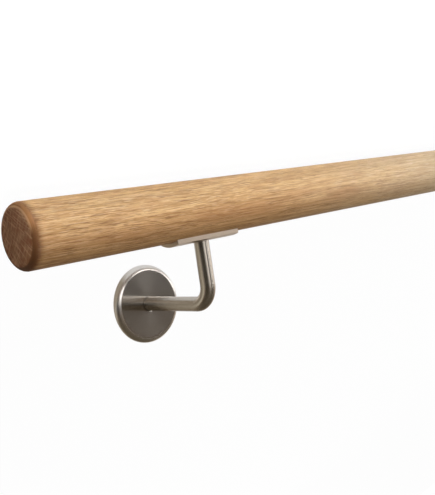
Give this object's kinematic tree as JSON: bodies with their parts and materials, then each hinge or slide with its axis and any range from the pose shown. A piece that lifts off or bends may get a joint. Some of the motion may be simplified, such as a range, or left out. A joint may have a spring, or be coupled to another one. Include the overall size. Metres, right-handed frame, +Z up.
{
  "type": "stair handrail length",
  "caption": "Round oak stair handrail length with eased ends, carried on bent round-rod wall brackets with curved saddle plates and round cover rosettes.",
  "frame": {"origin": "on the floor under the middle of the part's bounding box, as it lies unheld", "axes": "+X along the rail, +Z up from the floor, +Y from the rosettes towards the rail; the rail and the upper back rims of the rosettes touch the floor"},
  "size_m": [1, 0.1561, 0.0789],
  "materials": {
    "oak": "sanded and oiled",
    "stainless": "ground and brushed",
    "screw_steel": "plain bright"
  },
  "bodies": {
    "root": {"handrail": "oak", "saddle_plate_a": "stainless", "arm_rod_a": "stainless", "wall_plate_a": "stainless", "cover_rosette_a": "stainless", "plate_screw_a1": "screw_steel", "plate_screw_a2": "screw_steel", "saddle_plate_b": "stainless", "arm_rod_b": "stainless", "wall_plate_b": "stainless", "cover_rosette_b": "stainless", "plate_screw_b1": "screw_steel", "plate_screw_b2": "screw_steel"}
  },
  "joints": []
}
